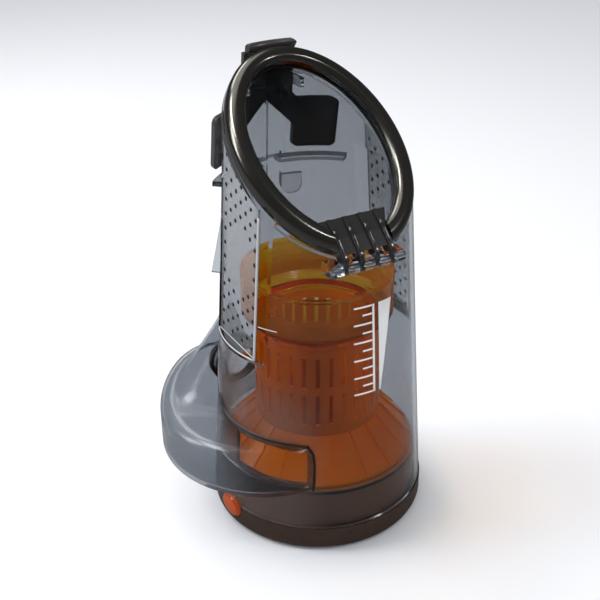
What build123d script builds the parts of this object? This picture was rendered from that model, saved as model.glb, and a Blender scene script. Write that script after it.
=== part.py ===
from build123d import *
import os
from math import cos, degrees, hypot, pi, radians, sin, sqrt

# Cyclone dust bin, standing on its filter head. Millimetres, +Z up, the lid's hinge faces -Y.
# The origin is the centre of the foot's underside.

# Clear bin wall, a cone that narrows upwards
base_radius = 62.0  # outer radius at the seam
seam_height = 15.0  # top of the opaque foot
seam_gap = 0.4  # open joint between foot and bin
wall_taper = 0.06  # radius lost for each millimetre of height
wall = 2.2

# Slanted mouth, and the lid on it
mouth_height = 218.0  # height of the mouth plane on the axis
mouth_slope = 37.0  # degrees, rising towards the rear
mouth_shift = -0.9  # lid centre along the slope, from the axis
ring_side_inset = 2.0  # lid ring stands this far inside the wall at its sides
ring_end_overhang = 2.8  # and reaches past it at its ends, along the slope
ring_width = 10.4
ring_height = 9.0
ring_outer_round = 5.0
ring_inner_round = 3.6
flange_thickness = 3.0
flange_margin = 0.3  # mouth flange stands out past the ring
flange_reach = 3.6  # but no further than this from the wall
lid_gap = 0.35  # lid clear of the mouth flange
window_thickness = 2.0
window_lap = 2.8  # window held under the ring by this much
gasket_thickness = 1.5
mouth_inset = 10.0  # mouth opening, in from the ring's outer edge
seat_gap = 0.1  # clearance of pieces that are seated in one another

# Grip flats on both sides
grip_half_width = 21.0
grip_floor = 116.0  # height of the ledge under each flat
grip_recess = 1.0  # flat sunk below its own edges

# Hinge at the front of the lid
hinge_drop = 2.1  # hinge axis below the ring's front edge
hinge_standoff = 3.0  # hinge axis in front of the wall
hinge_shift = -3.5  # hinge stands off centre, to the left
hinge_width = 42.4
hinge_pin_radius = 1.3
lug_radius = 3.4
prong_count = 4
prong_width = 2.6
prong_radius = 2.6
prong_rise = 1.3  # prongs stand above the leaf
leaf_half_width = 20.0  # at its straight rear edge
leaf_margin = 0.4  # leaf's sides past the outer prongs, from its fold on
leaf_chord = 21.7  # leaf's straight rear edge, back from the ring's front along the slope
leaf_fold = 10.5  # and the fold where its front face starts
leaf_thickness = 6.6
leaf_lift = 4.0  # leaf's lower edge above the lugs, only the prongs reach down
leaf_front = 1.4  # leaf's front face ahead of the hinge axis
running_gap = 0.35  # between parts that move past each other
pin_fit = 0.06  # radial clearance round the pins

# Latch yoke at the rear
latch_standoff = 5.0  # yoke's inner face off the wall
latch_thickness = 3.2
latch_drop = 16.7  # pivot below the ring's rear edge
latch_pivot_standoff = 6.6
latch_boss_radius = 2.8
latch_pin_radius = 1.2
latch_ear_width = 2.2
trunk_half_width = 15.5
fork_drop = 10.0  # fork of the arms, below the pivot
fork_depth = 17.0  # from there down to the paddles' inner edges
paddle_inner = 17.0
paddle_outer = 39.0
paddle_drop = 11.0  # paddles' top, below the pivot
paddle_length = 30.5
paddle_round = 3.5
paddle_flare = 4.0  # yoke leans away from the wall by this much at its foot
cap_half_width = 14.4
cap_shift = 1.4  # cap stands off centre, to the right
cap_rise = 7.3  # cap above the ring's rear edge
cap_front = 1.9  # cap's front face ahead of the yoke's inner face
cap_height = 9.0
cap_round = 2.4
latch_spring_drop = 6.0  # spring below the pivot
latch_spring_angle = -9.0  # beside the rear rib
latch_spring_radius = 2.6
latch_spring_wire = 0.45
spring_turns = 4

# Mouldings on the outside of the rear wall
shelf_height = 193.0
shelf_thickness = 3.0
shelf_depth = 7.0
shelf_half_angle = 48.0
rib_width = 4.5
rib_depth = 2.4
rib_bottom = 172.0
rib_rise = 6.0  # rear rib runs this far above the latch's pivot
boss_angle = 14.0  # from the rear centre
boss_height = 179.0
boss_width = 12.5
boss_depth = 2.6
fin_angle = 45.0  # from the rear centre, on the left
fin_bottom = 139.0
fin_top = 188.0
fin_depth = 7.6
fin_thickness = 2.2

# Tangential inlet scroll on the left, an eccentric circle in plan
scroll_center_x = -29.5
scroll_center_y = 9.5
scroll_shrink = 0.5  # its radius, less than the bin's
scroll_bottom = 41.0
scroll_roof = 70.0
scroll_wall = 2.0
scroll_root = 8.8  # sections start this far inside the bin wall
scroll_shoulder = 9.0
scroll_base_round = 4.0
scroll_start = -33.0  # angles run from the front, left is negative
scroll_end = -177.0
scroll_sections = 13
hood_crest = -143.0  # angle at which the roof is highest
hood_front_span = 55.0  # angle over which it climbs
hood_rear_span = 31.0  # and falls again
hood_rise = 60.0  # roof climbs the wall this far at the rear left
hood_shoulder_share = 0.19  # part of that rise at the outer shoulder
hood_flare = 0.73  # how far out the roof starts to sweep up the wall
hood_fill = 0.17  # and how high it stands there, as a part of the rise
weld_gap = 0.15
slot_start = -36.0
slot_end = -80.0
slot_margin = 4.0  # inlet slot in the bin wall, inside the scroll's height
port_x = -18.0
port_height = 57.0
port_radius = 13.0
port_wall = 2.0
port_reach = 15.0  # inlet port's end past the bin's radius
port_seal_depth = 3.0
port_seal_lip = 1.5

# Filter head: foot, separator plate and bin seal
foot_round = 5.0
foot_wall = 2.4
foot_floor = 3.0
foot_overhang = 0.5  # foot stands out past the bin wall
head_clearance = 0.6  # head's skirt inside the bin wall
skirt_top = 36.0
plate_thickness = 3.0
seal_height = 2.0
seal_depth = 1.6
seal_clearance = 0.3
outlet_radius = 22.0

# Cyclone in amber plastic
amber_wall = 1.8
shroud_inset = 6.7  # amber wall inside the collar
shroud_top = 122.0
skirt_rim_margin = 1.9  # amber skirt's rim inside the head's skirt
skirt_rim_wall = 3.6
skirt_rise = 22.0
skirt_ribs = 20
skirt_rib_height = 1.2
skirt_rib_width = 1.2
slot_columns = 30
slot_width = 2.4
slot_length = 20.0
slot_rows = 2
slot_row_pitch = 24.0
slot_first_height = 68.0
collar_gap = 3.4  # collar inside the grip flats
collar_height = 28.0
collar_lip = 4.0
cone_inset = 6.3  # cone's top inside the amber wall
cone_low_radius = 15.0
cone_low_height = 62.0
tube_radius = 11.0
tube_wall = 1.6
tube_top = 104.0

# Filter cartridge in the foot
filter_inner = 25.0
filter_outer = 39.0
filter_top = 28.0
filter_cap = 2.0
pleat_count = 32
pleat_thickness = 0.9
fold_share = 2.5  # paper at an outer fold, in thicknesses
filter_post_count = 6
filter_post_radius = 1.5
filter_seal_height = 2.0
filter_seal_width = 5.0

# Screws that hold the cyclone to the plate
screw_count = 4
screw_margin = 10.0  # screws stand inside the amber skirt's rim
screw_head_radius = 3.0
screw_head_height = 2.0
screw_radius = 1.4
screw_length = 8.0
screw_boss_radius = 3.2

# Release button of the head
button_angle = 6.0  # turned from -X towards the front
button_half_width = 8.8
button_half_height = 6.4
button_height = 12.6
button_proud = 1.6
button_round = 1.4
button_flange = 1.6
button_flange_thickness = 1.6
button_stem_radius = 2.0
button_stem_length = 2.6
button_spring_wire = 0.5
button_spring_radius = 3.4
button_spring_length = 6.0
button_wall_thickness = 2.0
button_wall_width = 14.0

far = 300.0  # reach of cutting solids
sector_steps = 6  # straight steps along a sector's rim
upward = (Align.CENTER, Align.CENTER, Align.MIN)

slope = radians(mouth_slope)
lid_plane = Plane(origin=(0, 0, mouth_height), x_dir=(1, 0, 0), z_dir=(0, -sin(slope), cos(slope)))
lid_place = lid_plane * Pos(0, mouth_shift)


def wall_radius(z):
    return base_radius - wall_taper * (z - seam_height)


# Grip flats: a plane that follows the taper, so that its edges run parallel
def flat_x(z):
    return sqrt(wall_radius(z) ** 2 - grip_half_width**2)


# Height and depth of a point given along the slope and above the mouth plane
def lid_point(along, above):
    y = along * cos(slope) - above * sin(slope)
    z = mouth_height + along * sin(slope) + above * cos(slope)
    return y, z


ring_half_width = wall_radius(mouth_height) - ring_side_inset
ring_half_length = wall_radius(mouth_height) / cos(slope) + ring_end_overhang
ring_front = mouth_shift - ring_half_length
ring_rear = mouth_shift + ring_half_length
hinge_height = lid_point(ring_front, 0)[1] - hinge_drop
hinge_y = -(wall_radius(hinge_height) + hinge_standoff)
latch_pivot_height = lid_point(ring_rear, 0)[1] - latch_drop
latch_y = wall_radius(latch_pivot_height) + latch_pivot_standoff
paddle_top = latch_pivot_height - paddle_drop
paddle_bottom = paddle_top - paddle_length
trunk_fork_height = latch_pivot_height - fork_drop
cap_top = lid_point(ring_rear, 0)[1] + cap_rise
latch_spring_height = latch_pivot_height - latch_spring_drop
rib_top = latch_pivot_height + rib_rise
scroll_radius = base_radius - scroll_shrink
port_end = base_radius + port_reach
skirt_radius = wall_radius(skirt_top) - wall - head_clearance
skirt_rim_radius = skirt_radius - skirt_rim_margin
screw_circle = skirt_rim_radius - screw_margin
collar_radius = flat_x(shroud_top + collar_height) - grip_recess - wall - collar_gap
shroud_radius = collar_radius - shroud_inset
cone_top_radius = shroud_radius - cone_inset
plate_low = skirt_top
plate_high = plate_low + plate_thickness
seal_outer = wall_radius(plate_high) - wall - seal_clearance
button_span = button_half_width + button_flange
# Outer face of the button's inner flange, clear of the curved skirt at its ends
button_back = sqrt((skirt_radius - foot_wall) ** 2 - button_span**2) - running_gap
button_wall_radius = button_back - button_flange_thickness - button_spring_length


def revolved(points):
    return revolve(Plane.XZ * make_face(Polyline(*points, close=True)), Axis.Z)


def cone_solid(offset, low, high):
    low_radius = wall_radius(low) + offset
    high_radius = wall_radius(high) + offset
    return revolved([(0, low), (low_radius, low), (high_radius, high), (0, high)])


def ring_solid(inner, outer, low, high):
    return Pos(0, 0, low) * extrude(Circle(outer) - Circle(inner), amount=high - low)


def lid_oval(inset, low, high):
    oval = Ellipse(ring_half_width - inset, ring_half_length - inset)
    return extrude(lid_place * Pos(0, 0, low) * oval, amount=high - low)


def across(radius, length, x, y, z):
    return Pos(x, y, z) * Rot(0, 90, 0) * Cylinder(radius, length)


def turned(angle, shape):
    return Rot(0, 0, angle) * shape


def coil(radius, wire, length, turns):
    path = Helix(pitch=(length - 2 * wire) / turns, height=length - 2 * wire, radius=radius)
    section = Plane(origin=path @ 0, z_dir=path % 0) * Circle(wire)
    return Pos(0, 0, wire) * sweep(section, path=path, is_frenet=True)


def sector(start, end, radius, low, high):
    spread = [start + (end - start) * step / sector_steps for step in range(sector_steps + 1)]
    rim = [(radius * sin(radians(a)), -radius * cos(radians(a))) for a in spread]
    return Pos(0, 0, low) * extrude(make_face(Polyline((0, 0), *rim, close=True)), amount=high - low)


def grip_cutters(inset):
    floor = grip_floor - inset
    sunk = grip_recess + inset
    profile = Polyline(
        (flat_x(floor) - sunk, floor),
        (flat_x(far) - sunk, far),
        (far, far),
        (far, floor),
        close=True,
    )
    right = extrude(Plane.XZ * make_face(profile), amount=grip_half_width + inset, both=True)
    return [right, mirror(right, about=Plane.YZ)]


# Lugs and prongs alternate along the hinge
lug_width = (hinge_width - prong_count * (prong_width + 2 * running_gap)) / (prong_count + 1)
prong_pitch = lug_width + prong_width + 2 * running_gap
first_lug = hinge_shift - prong_count * prong_pitch / 2
lug_places = [first_lug + index * prong_pitch for index in range(prong_count + 1)]
prong_places = [x + prong_pitch / 2 for x in lug_places[:-1]]


def hinge_lugs():
    lugs = []
    for x in lug_places:
        reach = abs(x) + lug_width / 2
        web_depth = -hinge_y - sqrt(wall_radius(hinge_height) ** 2 - reach**2) + wall / 2
        lugs.append(across(lug_radius, lug_width, x, hinge_y, hinge_height))
        web = Box(lug_width, web_depth, 2 * lug_radius)
        lugs.append(Pos(x, hinge_y + web_depth / 2, hinge_height) * web)
    return lugs


def latch_ears():
    ears = []
    for side in (-1, 1):
        x = side * (trunk_half_width + running_gap + latch_ear_width / 2)
        ears.append(across(latch_boss_radius, latch_ear_width, x, latch_y, latch_pivot_height))
        web = Box(latch_ear_width, latch_pivot_standoff + 2 * wall, 2 * latch_boss_radius)
        ears.append(Pos(x, latch_y - latch_pivot_standoff / 2 - wall, latch_pivot_height) * web)
    return ears


def rear_mouldings():
    shelf_top = shelf_height + shelf_thickness
    shelf = cone_solid(shelf_depth, shelf_height, shelf_top)
    shelf = shelf & sector(180 - shelf_half_angle, 180 + shelf_half_angle, far, shelf_height, shelf_top)
    rib_face = Polyline(
        (wall_radius(rib_bottom) - wall / 2, rib_bottom),
        (wall_radius(rib_bottom) + rib_depth, rib_bottom),
        (wall_radius(rib_top) + rib_depth, rib_top),
        (wall_radius(rib_top) - wall / 2, rib_top),
        close=True,
    )
    rib = extrude(Plane.YZ * make_face(rib_face), amount=rib_width / 2, both=True)
    boss_y = wall_radius(boss_height) + boss_depth
    boss_outline = Circle(boss_width / 2) + Pos(0, boss_width / 4) * Rectangle(boss_width, boss_width / 2)
    boss = extrude(Plane.XZ * boss_outline, amount=2 * boss_depth)
    boss = turned(-boss_angle, Pos(0, boss_y, boss_height) * boss)
    fin_face = Polyline(
        (wall_radius(fin_bottom) - wall / 2, fin_bottom),
        (wall_radius(fin_bottom) + fin_depth, fin_bottom),
        (wall_radius(fin_top), fin_top),
        (wall_radius(fin_top) - wall / 2, fin_top),
        close=True,
    )
    fin = extrude(Plane.YZ * make_face(fin_face), amount=fin_thickness / 2, both=True)
    return [shelf, rib, boss, turned(fin_angle, fin)]


def button_outline(margin):
    return Ellipse(button_half_width + margin, button_half_height + margin)


# A solid pushed out from one radius to another at the button's place
def button_solid(outline, inner, outer):
    start = Plane(origin=(-inner, 0, button_height), x_dir=(0, 1, 0), z_dir=(-1, 0, 0))
    return turned(button_angle, extrude(start * outline, amount=outer - inner))


def button_hole():
    return button_solid(button_outline(running_gap), button_back, far)


# The bin lifts off past the button, so its notch stays open downwards
def button_notch():
    slot = Box(far, 2 * (button_half_width + running_gap), button_height)
    slot = Pos(-button_back - far / 2, 0, button_height / 2) * slot
    return [button_hole(), turned(button_angle, slot)]


def bin_body():
    low = seam_height + seam_gap
    outer = cone_solid(0, low, far) - grip_cutters(0)
    flange = lid_oval(-flange_margin, -flange_thickness, 0) & cone_solid(flange_reach, 0, far)
    outer = outer - lid_oval(-far, 0, far)
    outer = outer + [flange, *hinge_lugs(), *latch_ears(), *rear_mouldings()]
    inside = cone_solid(-wall, low - wall, far) - grip_cutters(wall)
    inside = inside - (lid_oval(-far, -flange_thickness, far) - lid_oval(mouth_inset, -far, far))
    body = outer - inside
    slot_low = scroll_bottom + slot_margin
    slot_high = scroll_roof - slot_margin
    inlet_slot = sector(slot_start, slot_end, base_radius + wall, slot_low, slot_high)
    hinge_bore = across(hinge_pin_radius + pin_fit, 2 * hinge_width, hinge_shift, hinge_y, hinge_height)
    latch_bore = across(latch_pin_radius + pin_fit, 4 * trunk_half_width, 0, latch_y, latch_pivot_height)
    return body - [*button_notch(), inlet_slot, hinge_bore, latch_bore]


# Distance from the axis to the scroll's plan circle, in the direction of an angle from the front
def scroll_reach(angle):
    east = sin(radians(angle))
    north = -cos(radians(angle))
    along = scroll_center_x * east + scroll_center_y * north
    offset = scroll_center_x**2 + scroll_center_y**2
    return along + sqrt(along**2 - offset + scroll_radius**2)


# The hood is a smooth swell of the roof where it meets the wall, half a cosine wave on each side
def hood(angle):
    span = hood_front_span if angle > hood_crest else hood_rear_span
    share = min(abs(angle - hood_crest) / span, 1.0)
    return hood_rise * (1 + cos(pi * share)) / 2


def scroll_section(angle, inset):
    reach = scroll_reach(angle) - inset
    low = scroll_bottom + inset
    roof = scroll_roof - inset + hood_shoulder_share * hood(angle)
    crest = scroll_roof - inset + hood(angle)
    inner = wall_radius(scroll_roof) - scroll_root
    base = scroll_base_round - inset / 2
    shoulder = min(scroll_shoulder, (roof - low) / 2) - inset
    base_arc = CenterArc((reach - base, low + base), base, -90, 90)
    shoulder_arc = CenterArc((reach - shoulder, roof - shoulder), shoulder, 0, 90)
    flare = inner + hood_flare * (reach - shoulder - inner)
    edges = [
        Line((inner, low), base_arc @ 0),
        base_arc,
        Line(base_arc @ 1, shoulder_arc @ 0),
        shoulder_arc,
        Bezier(shoulder_arc @ 1, (flare, roof + hood_fill * (crest - roof)), (inner, crest)),
        Line((inner, crest), (inner, low)),
    ]
    radial = Plane(origin=(0, 0, 0), x_dir=(0, -1, 0), z_dir=(-1, 0, 0))
    return turned(angle, radial * make_face(Wire(edges)))


def scroll_loft(start, end, inset):
    angles = [start + (end - start) * step / (scroll_sections - 1) for step in range(scroll_sections)]
    return loft([scroll_section(angle, inset) for angle in angles])


def port_cylinder(radius, low_y, high_y):
    length = high_y - low_y
    return Pos(port_x, low_y + length / 2, port_height) * Rot(90, 0, 0) * Cylinder(radius, length)


def inlet_scroll():
    shell_angle = degrees(scroll_wall / base_radius)
    port_root = sqrt(base_radius**2 - port_x**2) + wall
    outer = scroll_loft(scroll_start, scroll_end, 0)
    outer = outer + port_cylinder(port_radius + port_wall, port_root, port_end)
    inner = scroll_loft(scroll_start - shell_angle, scroll_end + shell_angle, scroll_wall)
    keep_out = cone_solid(weld_gap, 0, far)
    bore = port_cylinder(port_radius, port_root, port_end + wall)
    return outer - [inner, keep_out, bore]


def inlet_seal():
    low_y = port_end - port_seal_depth
    high_y = port_end + port_seal_lip
    sleeve = port_cylinder(port_radius + port_wall + port_seal_lip, low_y, high_y)
    hollow = port_cylinder(port_radius + port_wall + seat_gap, low_y - wall, port_end + seat_gap)
    return sleeve - [hollow, port_cylinder(port_radius, low_y, high_y + wall)]


rebate_inset = ring_width - window_lap
rebate_top = lid_gap + gasket_thickness + window_thickness
leaf_top = lid_gap + leaf_thickness


# Room for the leaf in the ring: narrower from the fold on
def leaf_block(margin):
    front_half_width = prong_places[-1] - hinge_shift + prong_width / 2 + leaf_margin
    right = [
        (leaf_half_width + margin, ring_front + leaf_chord + margin),
        (front_half_width + margin, ring_front + leaf_fold),
        (front_half_width + margin, ring_front - ring_width),
    ]
    left = [(-x, y) for x, y in reversed(right)]
    face = lid_plane * Pos(hinge_shift, 0) * make_face(Polyline(*right, *left, close=True))
    return extrude(face, amount=far, both=True)


def lid_ring():
    axis = Axis(lid_plane.origin, lid_plane.z_dir)
    ring = lid_oval(0, lid_gap, lid_gap + ring_height) - lid_oval(ring_width, -far, far)
    ring = fillet(ring.faces().sort_by(axis)[-1].outer_wire().edges(), ring_outer_round)
    ring = fillet(ring.faces().sort_by(axis)[-1].inner_wires()[0].edges(), ring_inner_round)
    return ring - [lid_oval(rebate_inset, -far, rebate_top), leaf_block(seat_gap)]


def lid_window():
    return lid_oval(rebate_inset + seat_gap, lid_gap + gasket_thickness, rebate_top)


def lid_gasket():
    gasket = lid_oval(rebate_inset + seat_gap, lid_gap, lid_gap + gasket_thickness)
    return gasket - lid_oval(mouth_inset, -far, far)


# Side view of the leaf, or with a rise that of the prongs that stand out of it
def leaf_outline(rise):
    flange_y, flange_z = lid_point(ring_front - flange_margin, 0)
    foot_z = hinge_height + lug_radius
    outline = Polyline(
        lid_point(ring_front + leaf_chord, leaf_top + rise / 2),
        lid_point(ring_front + leaf_fold, leaf_top + rise),
        (hinge_y - leaf_front - rise, foot_z + lug_radius),
        (hinge_y - leaf_front - rise, foot_z),
        (hinge_y - leaf_front, hinge_height),
        (hinge_y + prong_radius, hinge_height),
        (flange_y - running_gap, flange_z),
        lid_point(ring_front, lid_gap),
        lid_point(ring_front + leaf_chord, lid_gap),
        close=True,
    )
    return Plane.YZ * make_face(outline)


def hinge_leaf():
    leaf = Pos(hinge_shift, 0, 0) * extrude(leaf_outline(0), amount=leaf_half_width, both=True)
    lug_room = hinge_height + lug_radius + running_gap + leaf_lift
    leaf = leaf & leaf_block(0)
    leaf = leaf - Pos(0, 0, lug_room - far / 2) * Box(far, far, far)
    prong = extrude(leaf_outline(prong_rise), amount=prong_width / 2, both=True)
    prong = prong + across(prong_radius, prong_width, 0, hinge_y, hinge_height)
    leaf = leaf + [Pos(x, 0, 0) * prong for x in prong_places]
    bore = across(hinge_pin_radius + pin_fit, 2 * hinge_width, hinge_shift, hinge_y, hinge_height)
    return leaf - [lid_oval(rebate_inset, -far, rebate_top), bore]


def hinge_pin():
    return across(hinge_pin_radius, hinge_width, hinge_shift, hinge_y, hinge_height)


def yoke_radius(z):
    lean = paddle_flare * (cap_top - z) / (cap_top - paddle_bottom)
    return wall_radius(z) + latch_standoff + lean


def yoke_solid(offset, low, high):
    low_radius = yoke_radius(low) + offset
    high_radius = yoke_radius(high) + offset
    return revolved([(0, low), (low_radius, low), (high_radius, high), (0, high)])


def latch_cap():
    cap_low = cap_top - cap_height
    cap = yoke_solid(latch_thickness, cap_low, cap_top) - yoke_solid(-cap_front, cap_low, cap_top)
    cap = cap & Pos(cap_shift, far / 2, cap_top) * Box(2 * cap_half_width, far, far)
    return fillet(cap.faces().sort_by(Axis.Z)[-1].edges(), cap_round)


def latch_outline():
    arm_top = paddle_top + paddle_round
    right = [
        (trunk_half_width, cap_top - cap_height / 2),
        (trunk_half_width, arm_top),
        (trunk_half_width + paddle_round, paddle_top),
        (paddle_outer, paddle_top),
        (paddle_outer, paddle_bottom),
        (paddle_inner, paddle_bottom),
        (paddle_inner, trunk_fork_height - fork_depth),
        (0, trunk_fork_height),
    ]
    left = [(-x, z) for x, z in reversed(right[:-1])]
    face = make_face(Polyline(*right, *left, close=True))
    outer = face.vertices().filter_by(lambda v: abs(abs(v.X) - paddle_outer) < seat_gap)
    low = face.vertices().filter_by(lambda v: abs(v.Y - paddle_bottom) < seat_gap)
    inner = low.filter_by(lambda v: abs(abs(v.X) - paddle_inner) < seat_gap)
    return fillet(outer + inner, paddle_round)


def latch_yoke():
    shell = yoke_solid(latch_thickness, paddle_bottom, cap_top)
    shell = shell - yoke_solid(0, paddle_bottom - wall, cap_top + wall)
    yoke = shell & extrude(Plane.XZ * latch_outline(), amount=-far)
    boss = across(latch_boss_radius, 2 * trunk_half_width, 0, latch_y, latch_pivot_height)
    ring_edge = [lid_gap, lid_gap + ring_height - ring_outer_round]
    ring_edge = [lid_point(ring_rear, above) for above in ring_edge]
    swing = max(hypot(y - hinge_y, z - hinge_height) for y, z in ring_edge)
    sweep_room = across(swing + 2 * running_gap, far, 0, hinge_y, hinge_height)
    bore = across(latch_pin_radius + pin_fit, far, 0, latch_y, latch_pivot_height)
    return yoke + [boss, latch_cap() - sweep_room] - bore


def latch_pin():
    length = 2 * (trunk_half_width + running_gap + latch_ear_width)
    return across(latch_pin_radius, length, 0, latch_y, latch_pivot_height)


def latch_spring():
    root = wall_radius(latch_spring_height) + seat_gap
    length = yoke_radius(latch_spring_height) - seat_gap - root
    spring = coil(latch_spring_radius, latch_spring_wire, length, spring_turns)
    return turned(latch_spring_angle, Pos(0, root, latch_spring_height) * Rot(-90, 0, 0) * spring)


def foot_cover():
    rim = base_radius + foot_overhang
    skirt_inner = skirt_radius - foot_wall
    cover = revolved(
        [
            (outlet_radius, 0),
            (rim, 0),
            (rim, seam_height),
            (skirt_radius, seam_height),
            (skirt_radius, skirt_top),
            (skirt_inner, skirt_top),
            (skirt_inner, seam_height - foot_wall),
            (rim - foot_wall, seam_height - foot_wall),
            (rim - foot_wall, foot_round),
            (rim - foot_round, foot_floor),
            (outlet_radius, foot_floor),
        ]
    )
    cover = fillet(cover.faces().sort_by(Axis.Z)[0].outer_wire().edges(), foot_round)
    wall_top = button_height + button_half_height
    stop = Box(button_wall_thickness, button_wall_width, wall_top - foot_floor)
    stop_x = -button_wall_radius + button_wall_thickness / 2
    stop = Pos(stop_x, 0, (wall_top + foot_floor) / 2) * stop
    return cover + turned(button_angle, stop) - button_hole()


def separator_plate():
    hole = tube_radius + tube_wall + seat_gap
    plate = ring_solid(hole, skirt_radius, plate_low, plate_high)
    groove_low = plate_low + (plate_thickness - seal_height) / 2
    groove = ring_solid(seal_outer - seal_depth - seat_gap, base_radius, groove_low, groove_low + seal_height)
    holes = Pos(0, 0, plate_low) * PolarLocations(screw_circle, screw_count)
    return plate - groove - [place * Cylinder(screw_radius + pin_fit, far) for place in holes]


def bin_seal():
    low = plate_low + (plate_thickness - seal_height) / 2 + seat_gap
    return ring_solid(seal_outer - seal_depth, seal_outer, low, low + seal_height - 2 * seat_gap)


def plate_screws():
    screws = []
    for place in PolarLocations(screw_circle, screw_count):
        head = Pos(0, 0, plate_low - screw_head_height / 2) * Cylinder(screw_head_radius, screw_head_height)
        shank = Pos(0, 0, plate_low + screw_length / 2) * Cylinder(screw_radius, screw_length)
        screws.append(place * (head + shank))
    return Compound(children=screws)


def outlet_tube():
    flange = tube_radius + tube_wall + collar_lip
    tube = ring_solid(tube_radius, tube_radius + tube_wall, plate_low - screw_head_height, tube_top)
    return tube + ring_solid(tube_radius, flange, plate_high, plate_high + tube_wall)


def cyclone_shroud():
    skirt_high = plate_high + skirt_rise
    rim_high = plate_high + amber_wall
    outside = revolved(
        [
            (0, plate_high),
            (skirt_rim_radius, plate_high),
            (skirt_rim_radius, rim_high),
            (shroud_radius, skirt_high),
            (shroud_radius, shroud_top),
            (0, shroud_top),
        ]
    )
    inside = revolved(
        [
            (0, plate_high),
            (skirt_rim_radius - skirt_rim_wall, plate_high),
            (shroud_radius - amber_wall, skirt_high - amber_wall),
            (shroud_radius - amber_wall, shroud_top),
            (0, shroud_top),
        ]
    )
    bosses = []
    bores = []
    for place in Pos(0, 0, plate_high) * PolarLocations(screw_circle, screw_count):
        bosses.append(place * Cylinder(screw_boss_radius, skirt_rise, align=upward))
        bores.append(place * Cylinder(screw_radius + pin_fit, 2 * (screw_length - plate_thickness)))
    shroud = outside - inside + [outside & boss for boss in bosses] - bores
    rib_face = Polyline(
        (skirt_rim_radius - skirt_rib_height, rim_high),
        (skirt_rim_radius, rim_high + skirt_rib_height),
        (shroud_radius + skirt_rib_height, skirt_high + skirt_rib_height),
        (shroud_radius - amber_wall / 2, skirt_high),
        (skirt_rim_radius - 2 * skirt_rib_height, rim_high - amber_wall / 2),
        close=True,
    )
    rib = extrude(Plane.XZ * make_face(rib_face), amount=skirt_rib_width / 2, both=True)
    ribs = [turned(360 * index / skirt_ribs, rib) for index in range(skirt_ribs)]
    slots = []
    for row in range(slot_rows):
        height = slot_first_height + row * slot_row_pitch + slot_length / 2
        for place in Pos(0, 0, height) * PolarLocations(shroud_radius, slot_columns):
            slots.append(place * Box(4 * amber_wall, slot_width, slot_length))
    return shroud + ribs - slots


def cyclone_collar():
    floor_high = shroud_top + amber_wall
    top = shroud_top + collar_height
    return revolved(
        [
            (cone_top_radius + seat_gap, shroud_top),
            (collar_radius - collar_lip, shroud_top),
            (collar_radius, shroud_top + collar_lip),
            (collar_radius, top),
            (collar_radius - collar_lip, top),
            (collar_radius - collar_lip, top - amber_wall),
            (collar_radius - amber_wall, top - amber_wall),
            (collar_radius - amber_wall, floor_high + collar_lip),
            (collar_radius - collar_lip - amber_wall, floor_high),
            (cone_top_radius + seat_gap, floor_high),
        ]
    )


def inner_cone():
    rest = shroud_top + amber_wall
    return revolved(
        [
            (cone_low_radius, cone_low_height),
            (cone_top_radius, rest),
            (cone_top_radius + collar_lip, rest),
            (cone_top_radius + collar_lip, rest + amber_wall),
            (cone_top_radius - amber_wall, rest + amber_wall),
            (cone_low_radius - amber_wall, cone_low_height),
        ]
    )


filter_bottom = foot_floor + filter_seal_height


def pleated_filter():
    low = filter_bottom + filter_cap
    outer = []
    inner = []
    for index in range(2 * pleat_count):
        angle = pi * index / pleat_count
        reach = filter_outer if index % 2 else filter_inner + pleat_thickness
        outer.append((reach * cos(angle), reach * sin(angle)))
        reach -= pleat_thickness * (fold_share if index % 2 else 1)
        inner.append((reach * cos(angle), reach * sin(angle)))
    star = make_face(Polyline(*outer, close=True)) - make_face(Polyline(*inner, close=True))
    return Pos(0, 0, low) * extrude(star, amount=filter_top - filter_cap - low)


def filter_frame():
    rim = filter_outer + filter_cap
    frame = ring_solid(outlet_radius, rim, filter_bottom, filter_bottom + filter_cap)
    lid = Pos(0, 0, filter_top - filter_cap / 2) * Cylinder(rim, filter_cap)
    posts = []
    height = filter_top - filter_bottom
    circle = PolarLocations(filter_inner - filter_post_radius, filter_post_count)
    for place in Pos(0, 0, filter_bottom) * circle:
        posts.append(place * Cylinder(filter_post_radius - seat_gap, height, align=upward))
    return frame + [lid, *posts]


def filter_seal():
    return ring_solid(filter_inner, filter_inner + filter_seal_width, foot_floor, filter_bottom)


def release_button():
    front = base_radius + button_proud
    cap = button_solid(button_outline(0), button_back - button_flange_thickness, front)
    cap = fillet(cap.edges().sort_by_distance((0, 0, button_height))[-1:], button_round)
    flange = button_solid(button_outline(button_flange), button_back - button_flange_thickness, button_back)
    stem_front = button_back - button_flange_thickness
    stem = button_solid(Circle(button_stem_radius), stem_front - button_stem_length, stem_front)
    return cap + [flange, stem]


def button_spring():
    spring = coil(button_spring_radius, button_spring_wire, button_spring_length - 2 * seat_gap, spring_turns)
    root = button_wall_radius + seat_gap
    return turned(button_angle, Pos(-root, 0, button_height) * Rot(0, -90, 0) * spring)


pieces = [
    foot_cover,
    separator_plate,
    bin_seal,
    plate_screws,
    outlet_tube,
    cyclone_shroud,
    cyclone_collar,
    inner_cone,
    pleated_filter,
    filter_frame,
    filter_seal,
    bin_body,
    inlet_scroll,
    inlet_seal,
    hinge_pin,
    latch_pin,
    latch_spring,
    lid_ring,
    lid_window,
    lid_gasket,
    hinge_leaf,
    latch_yoke,
    release_button,
    button_spring,
]

os.makedirs("parts", exist_ok=True)
for piece in pieces:
    export_step(piece(), f"parts/{piece.__name__}.step")
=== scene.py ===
import math

import bpy
import numpy as np
from mathutils import Matrix, Vector


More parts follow.
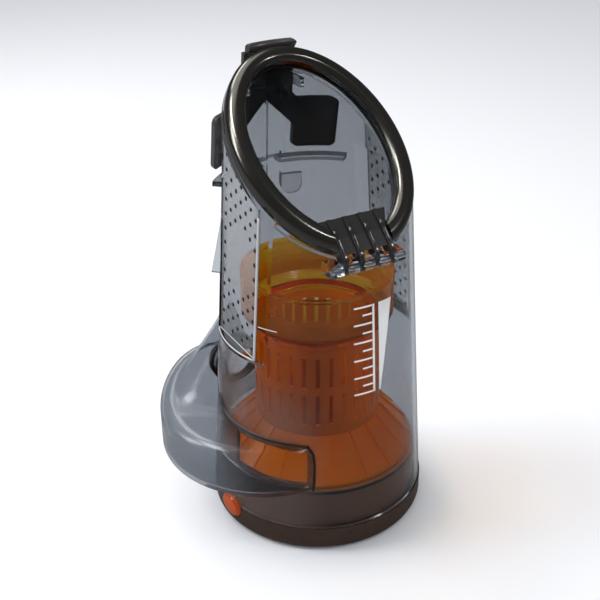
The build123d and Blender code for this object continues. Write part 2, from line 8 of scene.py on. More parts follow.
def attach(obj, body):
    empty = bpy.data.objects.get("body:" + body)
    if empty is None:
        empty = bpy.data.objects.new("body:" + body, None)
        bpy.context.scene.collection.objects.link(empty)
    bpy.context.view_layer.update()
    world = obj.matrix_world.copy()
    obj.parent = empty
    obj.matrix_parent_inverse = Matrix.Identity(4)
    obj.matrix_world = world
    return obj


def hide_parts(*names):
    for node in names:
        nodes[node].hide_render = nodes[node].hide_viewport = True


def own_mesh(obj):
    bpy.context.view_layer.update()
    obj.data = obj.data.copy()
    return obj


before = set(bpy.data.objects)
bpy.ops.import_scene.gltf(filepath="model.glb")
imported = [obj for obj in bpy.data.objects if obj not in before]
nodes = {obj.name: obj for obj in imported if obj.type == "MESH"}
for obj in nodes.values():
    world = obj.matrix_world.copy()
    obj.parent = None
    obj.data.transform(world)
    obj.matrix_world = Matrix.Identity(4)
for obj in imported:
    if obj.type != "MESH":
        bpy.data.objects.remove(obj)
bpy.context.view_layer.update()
scene = bpy.context.scene
mm = 0.001  # sizes below are in millimetres
print("frame loaded,", len(nodes), "nodes")


class Sock:  # a socket that takes part in Python sums, each sum adds a Math node
    def __init__(self, finish, socket):
        self.finish = finish
        self.socket = socket

    def calc(self, operation, first, second):
        return self.finish.node("ShaderNodeMath", {"operation": operation}, {0: first, 1: second})

    def __add__(self, other):
        return self.calc("ADD", self, other)

    def __radd__(self, other):
        return self.calc("ADD", other, self)

    def __sub__(self, other):
        return self.calc("SUBTRACT", self, other)

    def __rsub__(self, other):
        return self.calc("SUBTRACT", other, self)

    def __mul__(self, other):
        return self.calc("MULTIPLY", self, other)

    def __rmul__(self, other):
        return self.calc("MULTIPLY", other, self)

    def __pow__(self, other):
        return self.calc("POWER", self, other)

    def above(self, size):  # 1 beyond a size in millimetres
        return self.calc("GREATER_THAN", self, size * mm)

    def within(self, low, high):  # 1 between two sizes
        return self.above(low) * (1.0 - self.above(high))

    def ramp(self, low, high):  # 0 at one size, 1 at the other, held beyond them
        return self.finish.node("ShaderNodeMapRange", {}, {0: self, 1: low * mm, 2: high * mm})


class Finish:  # one material, or the world, nodes come from node() alone
    def __init__(self, name, world=None):
        self.material = world or bpy.data.materials.new(name)
        self.material.use_nodes = True
        self.tree = self.material.node_tree
        self.tree.nodes.clear()
        self.output = self.tree.nodes.new("ShaderNodeOutputWorld" if world else "ShaderNodeOutputMaterial")

    def node(self, kind, settings=None, sockets=None, out=0):
        made = self.tree.nodes.new(kind)
        for key, value in (settings or {}).items():
            if key == "stops":
                for element, (place, colour) in zip(made.color_ramp.elements, value):
                    element.position = place
                    element.color = (*colour, 1.0)
            else:
                setattr(made, key, value)
        for key, value in (sockets or {}).items():
            if isinstance(value, Sock):
                self.tree.links.new(value.socket, made.inputs[key])
            elif isinstance(value, tuple) and made.inputs[key].type == "RGBA":
                made.inputs[key].default_value = (*value, 1.0)
            else:
                made.inputs[key].default_value = value
        return Sock(self, made.outputs[out])

    def show(self, shader):
        self.tree.links.new(shader.socket, self.output.inputs["Surface"])
        return self.material

    def place(self):  # Object coordinates in metres
        return self.node("ShaderNodeTexCoord", out="Object")

    def spot(self):  # the same as three numbers
        where = self.place()
        return [self.node("ShaderNodeSeparateXYZ", {}, {0: where}, axis) for axis in "XYZ"]

    def grain(self, scale, detail=3.0, rough=0.6):
        sockets = {"Vector": self.place(), "Scale": scale, "Detail": detail, "Roughness": rough}
        return self.node("ShaderNodeTexNoise", {}, sockets, "Fac")

    def bump(self, height, strength, depth=0.2):
        sockets = {"Height": height, "Strength": strength, "Distance": depth * mm}
        return self.node("ShaderNodeBump", {}, sockets)

    def mirrored(self):  # 1 for a ray that comes from a reflection, 0 for any other
        glossy = self.node("ShaderNodeLightPath", {}, {}, "Is Glossy Ray")
        return glossy * (1.0 - self.node("ShaderNodeLightPath", {}, {}, "Is Transmission Ray"))

    def tone(self, factor, low, high):  # a colour that runs from low to high
        return self.node("ShaderNodeValToRGB", {"stops": [(0.0, low), (1.0, high)]}, {"Fac": factor}, "Color")

    def mix(self, factor, first, second):
        return self.node("ShaderNodeMixShader", {}, {0: factor, 1: first, 2: second})


# Bin wall and lid as in the part's source
wall = {"baseRadius": 62.0, "seam": 15.0, "taper": 0.06}
mouth = {"height": 218.0, "slope": 37.0, "flange": 3.0}


def wallRadius(z):  # the radius falls with the height above the seam
    return wall["baseRadius"] - wall["taper"] * (z - wall["seam"])


# Clear plastics: glass for what is seen, and a tinted film for the light of the lamps.
# A thick moulding on the rear wall is a zone of darker tint: two heights, where it starts at the left, shade.
# In a thin box the wall counts as a film, by the grip flats and the rear rib: ranges of x, y and z.
# A fade runs from another tint below to the tint above: two heights and the tint below.
# Haze grows to the left between two values of x, downwards from a top and upwards from a floor.
# A glossy coat grows downwards between two heights.
clear = {
    "smokePlastic": {"tint": (0.440, 0.460, 0.485), "film": (0.90, 0.905, 0.91), "ior": 1.25, "rough": 0.03,
                     "haze": 0.30, "body": (0.170, 0.120, 0.104),
                     "hazeFrom": (-24.0, -44.0), "hazeTop": (112.0, 84.0),
                     "thin": [((38, 80), (-27, 27), (114, 205)), ((-80, -38), (-27, 27), (114, 205)),
                              ((-5, 5), (40, 70), (171, 262))],
                     "zones": [(192.5, 196.5, -60.0, 0.50), (170.0, 187.5, 4.0, 0.62)]},
    "scrollPlastic": {"tint": (0.42, 0.44, 0.47), "film": (0.84, 0.85, 0.86), "ior": 1.12, "rough": 0.08,
                      "haze": 0.27, "body": (0.21, 0.232, 0.255),
                      "hazeFrom": (-62.0, -84.0), "coat": (82.0, 71.0)},
    "windowPlastic": {"tint": (0.465, 0.480, 0.495), "film": (0.86, 0.87, 0.88), "ior": 1.15, "rough": 0.02},
    "amberPlastic": {"tint": (0.98, 0.52, 0.012), "film": (0.98, 0.80, 0.28), "ior": 1.15, "rough": 0.10,
                     "haze": 0.42, "body": (0.98, 0.285, 0.002), "hazeTop": (121.5, 116.0)},
    "innerAmber": {"tint": (0.98, 0.80, 0.36), "film": (0.98, 0.86, 0.50), "ior": 1.10, "rough": 0.08,
                   "haze": 0.06, "body": (0.90, 0.300, 0.010)},
    "collarAmber": {"tint": (0.97, 0.64, 0.04), "film": (0.98, 0.82, 0.32), "ior": 1.16, "rough": 0.06,
                    "haze": 0.50, "body": (0.86, 0.285, 0.006),
                    "hazeTop": (157.0, 132.0), "hazeFloor": (124.5, 128.5),
                    "fade": (128.0, 148.0, (0.90, 0.44, 0.014))},
}
# Shared by all of them: zones lie behind a value of y, where the wall stands proud of its cone
clearCommon = {"cloud": 40.0, "roughSwing": 0.02, "hazeLeast": 0.7, "hazeSwing": 0.6, "bodyRough": 0.22,
               "coat": 0.3, "coatRough": 0.14, "rearFrom": 20.0, "proud": 0.4}


def clearPlastic(name, look):
    f = Finish(name)
    common = clearCommon
    cloud = f.grain(common["cloud"])
    x, y, z = f.spot()
    tint = look["tint"]
    if "zones" in look:
        proud = (x * x + y * y) ** 0.5 + wall["taper"] * z - wallRadius(0.0) * mm
        shade = 1.0
        for low, high, left, dark in look["zones"]:
            inside = z.within(low, high) * x.above(left) * y.above(common["rearFrom"])
            shade = shade - (1.0 - dark) * (inside * proud.above(common["proud"]))
        tint = f.tone(shade, (0.0, 0.0, 0.0), tint)
    if "fade" in look:
        low, high, below = look["fade"]
        tint = f.tone(z.ramp(low, high), below, tint)
    seen = f.node("ShaderNodeBsdfPrincipled", {}, {
        "Base Color": tint, "Roughness": look["rough"] + common["roughSwing"] * (cloud - 0.5),
        "IOR": look["ior"], "Transmission Weight": 1.0, "Coat Roughness": common["coatRough"],
        "Coat Weight": common["coat"] * z.ramp(*look["coat"]) if "coat" in look else 0.0})
    if "haze" in look:
        haze = look["haze"] * (common["hazeLeast"] + common["hazeSwing"] * cloud)
        for key, place in (("hazeFrom", x), ("hazeTop", z), ("hazeFloor", z)):
            if key in look:
                haze = haze * place.ramp(*look[key])
        sockets = {"Base Color": look["body"], "Roughness": common["bodyRough"]}
        seen = f.mix(haze, seen, f.node("ShaderNodeBsdfPrincipled", {}, sockets))
    if "thin" in look:
        inside = 0.0
        for box in look["thin"]:
            part = 1.0
            for place, limits in zip((x, y, z), box):
                part = part * place.within(*limits)
            inside = inside + part
        oneFace = tuple(part**0.5 for part in look["tint"])  # a film has two faces
        seen = f.mix(inside, seen, f.node("ShaderNodeBsdfTransparent", {}, {"Color": oneFace}))
    lampRay = f.node("ShaderNodeLightPath", {}, {}, "Is Shadow Ray")
    return f.show(f.mix(lampRay, seen, f.node("ShaderNodeBsdfTransparent", {}, {"Color": look["film"]})))


# Opaque plastics, metals and rubber.
# Above a height a pale finish takes more of its high colour: height, share below, share more above.
solid = {
    "darkPlastic": {"low": (0.020, 0.0145, 0.011), "high": (0.29, 0.132, 0.070), "rough": 0.22,
                    "grain": 500.0, "bump": 0.05, "pale": (15.0, 0.09, 0.80)},
    "blackPlastic": {"low": (0.015, 0.0145, 0.0145), "high": (0.024, 0.023, 0.023), "rough": 0.24,
                     "grain": 900.0, "bump": 0.02, "coat": 0.4},
    # A lighter copy of the black plastic: the latch yoke's front lies in shade, and this paints light onto it
    "yokePlastic": {"low": (0.030, 0.027, 0.026), "high": (0.046, 0.041, 0.039), "rough": 0.26,
                    "grain": 900.0, "bump": 0.03, "coat": 0.3},
    "bronzeTrim": {"low": (0.115, 0.110, 0.098), "high": (0.15, 0.143, 0.128), "rough": 0.19,
                   "grain": 300.0, "bump": 0.01, "metal": 1.0},
    "sealRubber": {"low": (0.016, 0.016, 0.017), "high": (0.030, 0.030, 0.031), "rough": 0.62,
                   "grain": 1200.0, "bump": 0.25},
    "screwSteel": {"low": (0.45, 0.45, 0.46), "high": (0.62, 0.62, 0.63), "rough": 0.30,
                   "grain": 700.0, "bump": 0.08, "metal": 1.0},
    "darkSteel": {"low": (0.045, 0.045, 0.047), "high": (0.075, 0.075, 0.077), "rough": 0.34,
                  "grain": 700.0, "bump": 0.06, "metal": 1.0},
    "ribPlastic": {"low": (0.010, 0.010, 0.010), "high": (0.018, 0.0175, 0.017), "rough": 0.10,
                   "grain": 900.0, "bump": 0.01, "coat": 1.0},
    "tubePlastic": {"low": (0.34, 0.115, 0.022), "high": (0.44, 0.160, 0.035), "rough": 0.40,
                    "grain": 700.0, "bump": 0.05},
    "framePlastic": {"low": (0.30, 0.30, 0.29), "high": (0.38, 0.38, 0.37), "rough": 0.42,
                     "grain": 700.0, "bump": 0.12},
    "filterPaper": {"low": (0.62, 0.60, 0.54), "high": (0.80, 0.78, 0.73), "rough": 0.85,
                    "grain": 1500.0, "bump": 0.35},
    "orangePlastic": {"low": (0.38, 0.050, 0.005), "high": (0.50, 0.074, 0.008), "rough": 0.16,
                      "grain": 250.0, "bump": 0.02, "coat": 0.6},
    "whitePrint": {"low": (0.80, 0.80, 0.79), "high": (0.88, 0.88, 0.87), "rough": 0.45,
                   "grain": 900.0, "bump": 0.03},
    "dotPlastic": {"low": (0.004, 0.0045, 0.005), "high": (0.009, 0.0095, 0.010), "rough": 0.40,
                   "grain": 900.0, "bump": 0.05},
    # A pale grey that paints highlights, for the rods on the rims of the grip flats
    "edgePlastic": {"low": (0.46, 0.475, 0.49), "high": (0.56, 0.575, 0.59), "rough": 0.18,
                    "grain": 600.0, "bump": 0.02},
}
solidCommon = {"broad": 25.0, "roughSwing": 0.10, "coatRough": 0.06}


def opaque(name, look):
    f = Finish(name)
    fine = f.grain(look["grain"])
    broad = f.grain(solidCommon["broad"])
    share = 0.5 * fine + 0.5 * broad
    if "pale" in look:
        height, below, more = look["pale"]
        share = 2.0 * below * share + more * f.spot()[2].above(height)
    return f.show(f.node("ShaderNodeBsdfPrincipled", {}, {
        "Base Color": f.tone(share, look["low"], look["high"]),
        "Roughness": look["rough"] + solidCommon["roughSwing"] * (broad - 0.5),
        "Metallic": look.get("metal", 0.0), "Coat Weight": look.get("coat", 0.0),
        "Coat Roughness": solidCommon["coatRough"], "Normal": f.bump(fine, look["bump"])}))


# Frosted film on the grip flats, it covers more towards the top: two heights, share below, share more above
frost = {"low": (0.40, 0.412, 0.425), "high": (0.50, 0.512, 0.525), "rough": 0.42, "grain": 1400.0,
         "bump": 0.3, "cover": (130.0, 205.0, 0.13, 0.22)}


def frosted(name, look):
    f = Finish(name)
    fine = f.grain(look["grain"])
    low, high, below, more = look["cover"]
    return f.show(f.node("ShaderNodeBsdfPrincipled", {}, {
        "Base Color": f.tone(fine, look["low"], look["high"]), "Roughness": look["rough"],
        "Alpha": below + more * f.spot()[2].ramp(low, high), "Normal": f.bump(fine, look["bump"])}))


finishes = {name: opaque(name, look) for name, look in solid.items()}
finishes.update({name: clearPlastic(name, look) for name, look in clear.items()})
finishes["frostFilm"] = frosted("frostFilm", frost)
worn = {
    "darkPlastic": ["foot_cover", "separator_plate"],
    "tubePlastic": ["outlet_tube"],
    "blackPlastic": ["hinge_leaf"],
    "yokePlastic": ["latch_yoke"],
    "bronzeTrim": ["lid_ring"],
    "sealRubber": ["bin_seal", "inlet_seal", "filter_seal", "lid_gasket"],
    "screwSteel": ["plate_screws", "hinge_pin", "button_spring"],
    "darkSteel": ["latch_pin", "latch_spring"],
    "framePlastic": ["filter_frame"],
    "filterPaper": ["pleated_filter"],
    "orangePlastic": ["release_button"],
    "smokePlastic": ["bin_body"],
    "scrollPlastic": ["inlet_scroll"],
    "amberPlastic": ["cyclone_shroud"],
    "innerAmber": ["inner_cone"],
    "collarAmber": ["cyclone_collar"],
    "windowPlastic": ["lid_window"],
}
for name, members in worn.items():
    for member in members:
        nodes[member].data.materials.clear()
        nodes[member].data.materials.append(finishes[name])
print("finishes made,", len(finishes))


# A new piece: points in millimetres, and faces as arrays of rows with as many corners each.
# The volume is the sum of a . (b x c) over the faces' triangles. If it is negative, all faces turn round.
def addPiece(name, points, faces, body, slotName, finish):
    volume = 0.0
    for group in faces:
        for corner in range(1, group.shape[1] - 1):
            a, b, c = (points[group[:, column]] for column in (0, corner, corner + 1))
            volume += (a * np.cross(b, c)).sum()
    if volume < 0:
        faces = [group[:, ::-1] for group in faces]
    rows = sum([group.tolist() for group in faces], [])
    mesh = bpy.data.meshes.new(name)
    mesh.from_pydata((points * mm).tolist(), [], rows)
    mesh.polygons.foreach_set("use_smooth", [True] * len(rows))
    mesh.materials.append(finishes[finish])
    piece = bpy.data.objects.new(name, mesh)
    scene.collection.objects.link(piece)
    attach(piece, body)
    return piece


def nodePlaces(name):  # a node's points in millimetres
    mesh = nodes[name].data
    places = np.empty(len(mesh.vertices) * 3)
    mesh.vertices.foreach_get("co", places)
    return places.reshape(-1, 3) / mm


def joined(shapes):  # several closed shapes as one, each one's faces counted on from the points before it
    starts = np.cumsum([0] + [len(points) for points, faces in shapes])
    points = np.concatenate([points for points, faces in shapes])
    return points, [group + start for start, (_, faces) in zip(starts, shapes) for group in faces]


def slab(outer, inner):  # two grids of points, closed by quads between their rims
    index = np.arange(outer.shape[0] * outer.shape[1]).reshape(outer.shape[:2])
    half = index.size
    points = np.concatenate([outer.reshape(-1, 3), inner.reshape(-1, 3)])
    quads = np.stack([index[:-1, :-1], index[:-1, 1:], index[1:, 1:], index[1:, :-1]], -1).reshape(-1, 4)
    rim = np.concatenate([index[0], index[1:, -1], index[-1, -2::-1], index[-2:0:-1, 0]])
    ahead = np.roll(rim, -1)
    return points, [quads, half + quads[:, ::-1], np.stack([ahead, rim, half + rim, half + ahead], -1)]


def bands(rings, count):  # quads between rings of points that follow one another
    here = np.arange(rings * count).reshape(rings, count)
    ahead = np.roll(here, -1, axis=1)
    return np.stack([ahead[:-1], here[:-1], here[1:], ahead[1:]], -1).reshape(-1, 4)


def domeFaces(rings, count):  # a flat foot, bands, and triangles from the last ring to the crown point
    last = (rings - 1) * count + np.arange(count)
    fan = np.stack([np.roll(last, -1), last, np.full(count, rings * count)], -1)
    return [np.arange(count)[None], bands(rings, count), fan]


# Point on the cone of the wall: (r sin t, -r cos t, z), the angle t runs from the front, left is negative
def onWall(angle, z, lift):
    turn = np.radians(angle)
    reach = wallRadius(z) + lift
    return np.stack([reach * np.sin(turn), -reach * np.cos(turn), z + 0.0 * turn], -1)


# Patch on the wall: bilinear between four corners given as angle and height, low pair first
def wallPatch(corners, lift, thick, across=9, up=5):
    u, v = np.meshgrid(np.linspace(0, 1, across), np.linspace(0, 1, up))
    u, v = u[..., None], v[..., None]
    low, lowEnd, high, highEnd = (np.array(corner) for corner in corners)
    places = (low * (1 - u) + lowEnd * u) * (1 - v) + (high * (1 - u) + highEnd * u) * v
    angle, z = places[..., 0], places[..., 1]
    return slab(onWall(angle, z, lift + thick), onWall(angle, z, lift))


# Round rod: path + radius * (cos t * first + sin t * second), with flat ends, and the radius may change.
# First and second are square to the path, first also to beside, which is upright unless the path is steep.
def bead(path, radius, sides=8, beside=None, steep=0.8):
    ahead = np.gradient(path, axis=0)
    ahead /= np.linalg.norm(ahead, axis=1)[:, None]
    if beside is None:
        beside = np.where(np.abs(ahead[:, 2:]) > steep, [[0.0, 1.0, 0.0]], [[0.0, 0.0, 1.0]])
    first = np.cross(ahead, beside)
    first /= np.linalg.norm(first, axis=1)[:, None]
    second = np.cross(ahead, first)
    turns = np.arange(sides) * 2 * np.pi / sides
    ring = first[:, None] * np.cos(turns)[None, :, None] + second[:, None] * np.sin(turns)[None, :, None]
    points = (path[:, None] + np.reshape(radius, (-1, 1, 1)) * ring).reshape(-1, 3)
    ends = np.stack([np.arange(sides), len(points) - 1 - np.arange(sides)])
    return points, [ends, bands(len(path), sides)]


# Grip flats: a plane on each side that leans with the wall, with frosted film, dots, and pale rods that paint
# the highlights along its rims
grip = {"reach": 50.85, "lean": 0.0661, "floor": 116.0, "halfWidth": 21.0}
film = {"thick": 0.12, "under": 0.02, "inset": 0.5, "below": 0.6, "steps": 9}
# Rings of a dot: shares of its radius and height. Blank: half width and half height of an oval without dots.
dots = {"radius": 1.22, "height": 0.36, "sides": 10, "rings": [(1.0, 0.0), (1.0, 0.3), (0.72, 0.75)],
        "columns": 7, "columnPitch": 5.6, "rowPitch": 8.2, "from": 4.5, "below": 3.0,
        "blankMiddle": 167.0, "blank": (16.0, 21.0), "blankPower": 1.5}
# Pale rods that paint the bright highlight lines on the ledge's rim and root and on the flat's front corner
edgeHighlights = {"radius": 0.42, "rimInset": 0.15, "rimDrop": 0.1, "rootShare": 0.7, "rootLift": 0.3, "rootOut": 0.3,
         "post": 0.80, "postInset": 0.4, "postBelow": 1.0, "steps": 25}


# Point of a flat: the reach falls with the height, and the lift is square to the plane
def flatPoint(side, y, z, lift):
    steep = math.hypot(1.0, grip["lean"])
    reach = grip["reach"] - grip["lean"] * (z - grip["floor"])
    return np.stack([side * (reach + lift / steep), y + 0.0 * z, z + lift * grip["lean"] / steep], -1)


def flatTop(y):  # underside of the mouth flange, a plane that rises to the rear
    slope = math.radians(mouth["slope"])
    return mouth["height"] + y * math.tan(slope) - mouth["flange"] / math.cos(slope)


# Film: a grid over the flat, across its width and from its floor to the slanted flange
def gripFilm(side):
    across = np.linspace(-1, 1, film["steps"]) * (grip["halfWidth"] - film["inset"])
    y, share = np.meshgrid(across, np.linspace(0, 1, film["steps"]))
    low = grip["floor"] + film["inset"]
    z = low + share * (flatTop(y) - film["below"] - low)
    return slab(flatPoint(side, y, z, film["thick"]), flatPoint(side, y, z, film["under"]))


# Dots: low domes in columns, each second column half a pitch higher. One dome is rings of points and a crown.
# Left out are those above the flange and those inside the blank, an oval |y/a|^p + |z/b|^p < 1.
def gripDots(side):
    d = dots
    rows = math.ceil((flatTop(grip["halfWidth"]) - grip["floor"]) / d["rowPitch"])
    column, row = np.meshgrid(np.arange(d["columns"]), np.arange(rows), indexing="ij")
    y = ((d["columns"] - 1) / 2 - column) * d["columnPitch"]
    z = grip["floor"] + d["from"] + (row + 0.5 * (column % 2)) * d["rowPitch"]
    oval = np.abs(y / d["blank"][0]) ** d["blankPower"]
    oval += np.abs((z - d["blankMiddle"]) / d["blank"][1]) ** d["blankPower"]
    kept = (z < flatTop(y) - d["below"]) & (oval >= 1.0)
    y, z = y[kept], z[kept]
    turns = np.arange(d["sides"]) * 2 * np.pi / d["sides"]
    share, lift = np.array(d["rings"]).T[..., None]
    aside, up = (d["radius"] * share * wave(turns) for wave in (np.cos, np.sin))
    foot = film["thick"]
    rings = flatPoint(side, y[:, None, None] + aside, z[:, None, None] + up, foot + d["height"] * lift)
    crowns = flatPoint(side, y, z, foot + d["height"])
    points = np.concatenate([rings.reshape(len(y), -1, 3), crowns[:, None]], 1)
    return joined([(dome, domeFaces(len(d["rings"]), d["sides"])) for dome in points])


# Painted highlights: pale rods along the ledge's outer rim, where sqrt(R^2 - y^2) is the wall, along its
# root, and up the front corner
def gripEdgeHighlights(side):
    e, half = edgeHighlights, grip["halfWidth"]
    y = np.linspace(-half, half, e["steps"])
    rim = np.sqrt(wallRadius(grip["floor"]) ** 2 - y**2) - e["rimInset"]
    level = np.full_like(y, grip["floor"] - e["rimDrop"])
    root = np.full_like(y, grip["reach"] + e["rootOut"])
    z = np.linspace(grip["floor"], flatTop(-half) - e["postBelow"], e["steps"])
    across = np.sqrt(wallRadius(z) ** 2 - half**2) - e["postInset"]
    return joined([
        bead(np.stack([side * rim, y, level], -1), e["radius"]),
        bead(np.stack([side * root, y, level + e["rootLift"]], -1), e["rootShare"] * e["radius"]),
        bead(np.stack([side * across, np.full_like(z, -half), z], -1), e["post"])])


for side, word in ((-1, "left"), (1, "right")):
    addPiece(word + "GripFilm", *gripFilm(side), "bin", "smoke_plastic", "frostFilm")
    addPiece(word + "GripDots", *gripDots(side), "bin", "smoke_plastic", "dotPlastic")
    addPiece(word + "GripEdgeHighlights", *gripEdgeHighlights(side), "bin", "smoke_plastic", "edgePlastic")
print("grip flats dressed")

# Printed marks: a fill gauge with a line, ticks and a wedge at the front, and a level line at the left.
# Level: its two angles, height and width. Widths across become angles at the given radius.
gauge = {"angle": 2.0, "low": 99.0, "high": 151.0, "line": 1.3, "long": 11.0, "short": 6.0, "tick": 1.0,
         "tickGap": 0.2, "steps": 10, "wedgeFrom": 5.5, "wedgeFoot": 0.8, "wedgeTo": 15.0,
         "level": (-65.0, -53.0, 137.0, 0.38), "radius": 55.0, "lift": 0.03, "thick": 0.06}


# Marks: patches on the wall, most of them upright oblongs between two angles and two heights
def gaugeMarks():
    g = gauge

    def patch(low, high, start, end, endTop=None):
        corners = [(start, low), (end, low), (start, high), (end if endTop is None else endTop, high)]
        return wallPatch(corners, g["lift"], g["thick"])

    half = 0.5 * math.degrees(g["line"] / g["radius"])
    left = g["angle"] - half
    shapes = [patch(g["low"], g["high"], left, g["angle"] + half)]
    thin = g["tick"] / 2
    for step in range(g["steps"] + 1):
        z = g["low"] + (g["high"] - g["low"]) * step / g["steps"]
        z = min(max(z, g["low"] + thin), g["high"] - thin)
        end = left - math.degrees((g["short"] if step % 2 else g["long"]) / g["radius"])
        shapes.append(patch(z - thin, z + thin, end, left - g["tickGap"]))
    start = g["wedgeFrom"]
    shapes.append(patch(g["low"], g["high"], start, start + g["wedgeFoot"], g["wedgeTo"]))
    start, end, z, width = g["level"]
    shapes.append(patch(z - width / 2, z + width / 2, start, end))
    return joined(shapes)


addPiece("printedMarks", *gaugeMarks(), "bin", "frame_plastic", "whitePrint")
print("marks printed")

# Weld seam at the scroll's front end, as angle and height, and a dark rod that paints the shade along the
# line where its roof meets the wall.
# The scroll's inner face stands off the wall by the skin, and its top is looked for near each angle.
seam = {"path": [(-36.3, 70.6), (-34.6, 68.2), (-32.6, 64.5), (-32.0, 58.0), (-32.1, 50.0), (-32.6, 41.6)],
        "radius": 0.85, "lift": 0.35, "steps": 31, "roofRadius": (0.55, 1.25), "roofFrom": -36.0,
        "roofTo": -104.0, "roofStep": -2.0, "roofLift": 0.3, "roofEnd": (6.0, 0.6), "skin": 0.15,
        "near": 0.05, "search": 3.0, "smooth": 2}


def spread(path, steps):  # points at even shares along a path of straight stretches, and the shares
    path = np.array(path)
    share = np.linspace(0, len(path) - 1, steps)
    return [np.interp(share, np.arange(len(path)), values) for values in path.T], share


# Seam and painted shade: rods on the wall, one along the seam's path, one along the scroll's highest points,
# averaged over neighbours, as a painted shade line at the roof's junction
def weldSeamAndRoofShade():
    s = seam
    (angles, heights), _ = spread(s["path"], s["steps"])
    front = bead(onWall(angles, heights, s["lift"]), s["radius"])
    x, y, z = nodePlaces("inlet_scroll").T
    onCone = np.abs(np.hypot(x, y) - wallRadius(z) - s["skin"]) < s["near"]
    around = np.degrees(np.arctan2(x, -y))
    steps = np.arange(s["roofFrom"], s["roofTo"], s["roofStep"])
    tops = [z[onCone & (np.abs(around - step) < s["search"])].max() for step in steps]
    window = 2 * s["smooth"] + 1
    tops = np.convolve(np.pad(tops, s["smooth"], "edge"), np.full(window, 1 / window), "valid")
    swell = np.linspace(*s["roofRadius"], len(steps))
    swell = swell * np.minimum(1.0, np.linspace(*s["roofEnd"], len(steps)))
    return joined([front, bead(onWall(steps, tops + s["roofLift"], s["lift"]), swell)])


addPiece("weldSeamAndRoofShade", *weldSeamAndRoofShade(), "bin", "seal_rubber", "dotPlastic")

# Ribs along the hinge prongs, the crest is given as y and z, from the top
ribs = {"places": (-17.21, -8.07, 1.07, 10.21), "radius": 1.15, "steps": 25, "sides": 12,
        "thinEnd": 0.35, "thinOver": 1.5,
        "crest": [(-44.6, 193.4), (-46.8, 192.4), (-49.2, 190.6), (-53.4, 186.6), (-57.0, 183.0),
                  (-57.5, 181.2), (-57.5, 179.4)]}


def hingeRibs():  # round rods, each on its prong's crest, whose radius grows from a thin upper end
    (y, z), share = spread(ribs["crest"], ribs["steps"])
    radius = ribs["radius"] * np.minimum(1.0, ribs["thinEnd"] + share / ribs["thinOver"])
    paths = [np.stack([np.full_like(y, x), y, z], -1) for x in ribs["places"]]
    return joined([bead(path, radius, ribs["sides"]) for path in paths])


addPiece("hingeRibs", *hingeRibs(), "lid", "black_plastic", "ribPlastic")

# Button lens on the button's face, which is turned from -X towards the front
lens = {"angle": 6.0, "reach": 63.55, "height": 12.6, "halfWidth": 8.3, "halfHeight": 5.9, "bulge": 1.7,
        "sides": 32, "rings": 8}


# Dome over an ellipse: middle + s * (a cos t, b sin t) + bulge * (1 - s^2), s falls from 1 at the rim to 0
def buttonLens():
    b = lens
    turn = math.radians(b["angle"])
    out = np.array([-math.cos(turn), -math.sin(turn), 0.0])
    aside = np.array([math.sin(turn), -math.cos(turn), 0.0])
    up = np.array([0.0, 0.0, 1.0])
    middle = b["reach"] * out + b["height"] * up
    share, turns = np.meshgrid(1.0 - np.arange(b["rings"]) / b["rings"],
                               np.arange(b["sides"]) * 2 * np.pi / b["sides"], indexing="ij")
    share, turns = share[..., None], turns[..., None]
    oval = b["halfWidth"] * np.cos(turns) * aside + b["halfHeight"] * np.sin(turns) * up
    dome = middle + share * oval + b["bulge"] * (1.0 - share**2) * out
    points = np.concatenate([dome.reshape(-1, 3), [middle + b["bulge"] * out]])
    return points, domeFaces(b["rings"], b["sides"])


addPiece("buttonLens", *buttonLens(), "button", "orange_plastic", "orangePlastic")

# Springs in their nodes' places.
# The axis is level and given by its angle from +X, the travel is how much shorter the spring would get, but
# nothing shortens it.
springs = {
    "buttonCoil": {"node": "button_spring", "body": "head", "joint": "button_press", "finish": "screwSteel",
                   "turn": 186.0, "wire": 0.5, "turns": 4, "start": -90.0, "travel": 3.1},
    "latchCoil": {"node": "latch_spring", "body": "bin", "joint": "latch_pivot", "finish": "darkSteel",
                  "turn": 81.0, "wire": 0.45, "turns": 4, "start": 0.0, "travel": 1.1},
}
coil = {"stepsPerTurn": 24, "sides": 12}


# Coil: a round rod along a helix, which fills the node's box along the axis, aside and upwards
def addSpring(name, s):
    turn = math.radians(s["turn"])
    axis = np.array([math.cos(turn), math.sin(turn), 0.0])
    local = np.stack([axis, [-axis[1], axis[0], 0.0], [0.0, 0.0, 1.0]])
    places = nodePlaces(s["node"]) @ local.T
    low, high = places.min(0), places.max(0)
    length = high[0] - low[0]
    middle = (low + high) / 2
    share = np.linspace(0, 1, coil["stepsPerTurn"] * s["turns"] + 1)
    around = 2 * np.pi * s["turns"] * share + math.radians(s["start"])
    reach = (high[2] - low[2]) / 2 - s["wire"]
    along = low[0] + s["wire"] + (length - 2 * s["wire"]) * share
    path = np.stack([along, middle[1] - reach * np.cos(around), middle[2] - reach * np.sin(around)], -1)
    shape = bead(path @ local, s["wire"], coil["sides"], axis)
    piece = addPiece(name, *shape, s["body"], "spring_steel", s["finish"])
    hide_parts(s["node"])
    keep = float(1.0 - s["travel"] / length)
    tuple((low[0] * mm * axis).tolist())
    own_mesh(piece)


for name, spring in springs.items():
    addSpring(name, spring)
print("seam, ribs, button and springs dressed")

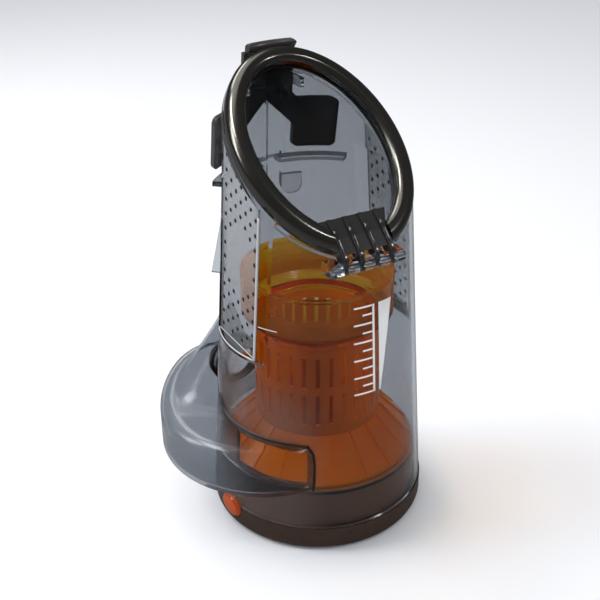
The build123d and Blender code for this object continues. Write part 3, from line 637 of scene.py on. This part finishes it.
# Floor, lamps and world
stage = {"floorHalf": 6.0, "floorColour": (0.84, 0.845, 0.86), "floorRough": 0.7, "floorShine": 0.2,
         "worldColour": (0.93, 0.95, 1.0), "worldLevel": 0.62, "mirrored": 0.20}
lamps = {
    "leftStrip": {"at": (-0.865, 0.479, 0.745), "aim": (0, 0, 0.22), "size": (0.26, 0.58), "watts": 4.2},
    "upperStrip": {"at": (-0.514, 0.387, 1.153), "aim": (0, 0, 0.20), "size": (0.42, 0.30), "watts": 6.0},
    "topBox": {"at": (0.05, 0.45, 1.40), "aim": (0, 0, 0.12), "size": (0.80, 0.80), "watts": 3.0},
    "backBox": {"at": (-0.10, 0.85, 1.05), "aim": (0, 0, 0.10), "size": (0.50, 0.30), "watts": 3.0},
    "frontSpot": {"at": (0.24, -0.55, 1.12), "aim": (0, 0, 0.10), "size": (0.10, 0.10), "watts": 1.0},
    "sideSpot": {"at": (0.66, -0.58, 0.95), "aim": (0, 0, 0.18), "size": (0.12, 0.12), "watts": 0.9},
}


# Floor and world look dim in reflections, so that dark pieces keep their dark sides
def makeFloor(s):
    half = s["floorHalf"]
    corners = [(-half, -half, 0), (half, -half, 0), (half, half, 0), (-half, half, 0)]
    mesh = bpy.data.meshes.new("floor")
    mesh.from_pydata(corners, [], [(0, 1, 2, 3)])
    floor = bpy.data.objects.new("floor", mesh)
    scene.collection.objects.link(floor)
    f = Finish("paleFloor")
    dim = tuple(s["mirrored"] * part for part in s["floorColour"])
    mesh.materials.append(f.show(f.node("ShaderNodeBsdfPrincipled", {}, {
        "Base Color": f.tone(f.mirrored(), s["floorColour"], dim), "Roughness": s["floorRough"],
        "Specular IOR Level": s["floorShine"]})))


def makeLamp(name, lamp):
    data = bpy.data.lights.new(name, "AREA")
    data.shape = "RECTANGLE"
    data.size, data.size_y = lamp["size"]
    data.energy = lamp["watts"]
    holder = bpy.data.objects.new(name, data)
    holder.location = lamp["at"]
    holder.rotation_euler = (Vector(lamp["aim"]) - Vector(lamp["at"])).to_track_quat("-Z", "Y").to_euler()
    scene.collection.objects.link(holder)


def makeWorld(s):
    scene.world = bpy.data.worlds.new("studio")
    f = Finish("studio", scene.world)
    level = s["worldLevel"] * (1.0 - (1.0 - s["mirrored"]) * f.mirrored())
    f.show(f.node("ShaderNodeBackground", {}, {"Color": s["worldColour"], "Strength": level}))


makeFloor(stage)
makeWorld(stage)
for name, lamp in lamps.items():
    makeLamp(name, lamp)

# Camera of the photograph, turned about its own line of sight by roll
eye = {"azimuth": -29.57, "elevation": 28.45, "distance": 600.0, "lens": 63.78, "height": 128.7,
       "aside": -9.6, "roll": -0.546}


def makeCamera(c):
    a, e, t = (math.radians(c[key]) for key in ("azimuth", "elevation", "roll"))
    back = Vector((math.sin(a) * math.cos(e), -math.cos(a) * math.cos(e), math.sin(e)))
    right = Vector((math.cos(a), math.sin(a), 0.0))
    up = back.cross(right)
    spot = (Vector((0, 0, c["height"])) + c["aside"] * right + c["distance"] * back) * mm
    right, up = math.cos(t) * right + math.sin(t) * up, math.cos(t) * up - math.sin(t) * right
    data = bpy.data.cameras.new("camera")
    data.lens = c["lens"]
    holder = bpy.data.objects.new("camera", data)
    turn = Matrix((right, up, back)).transposed().to_4x4()
    holder.matrix_world = Matrix.Translation(spot) @ turn
    scene.collection.objects.link(holder)
    scene.camera = holder


makeCamera(eye)
scene.view_settings.view_transform = "Standard"
bounces = {"max_bounces": 32, "transmission_bounces": 32, "glossy_bounces": 8, "transparent_max_bounces": 64}
for key, count in bounces.items():
    setattr(scene.cycles, key, count)
print("stage and camera set")
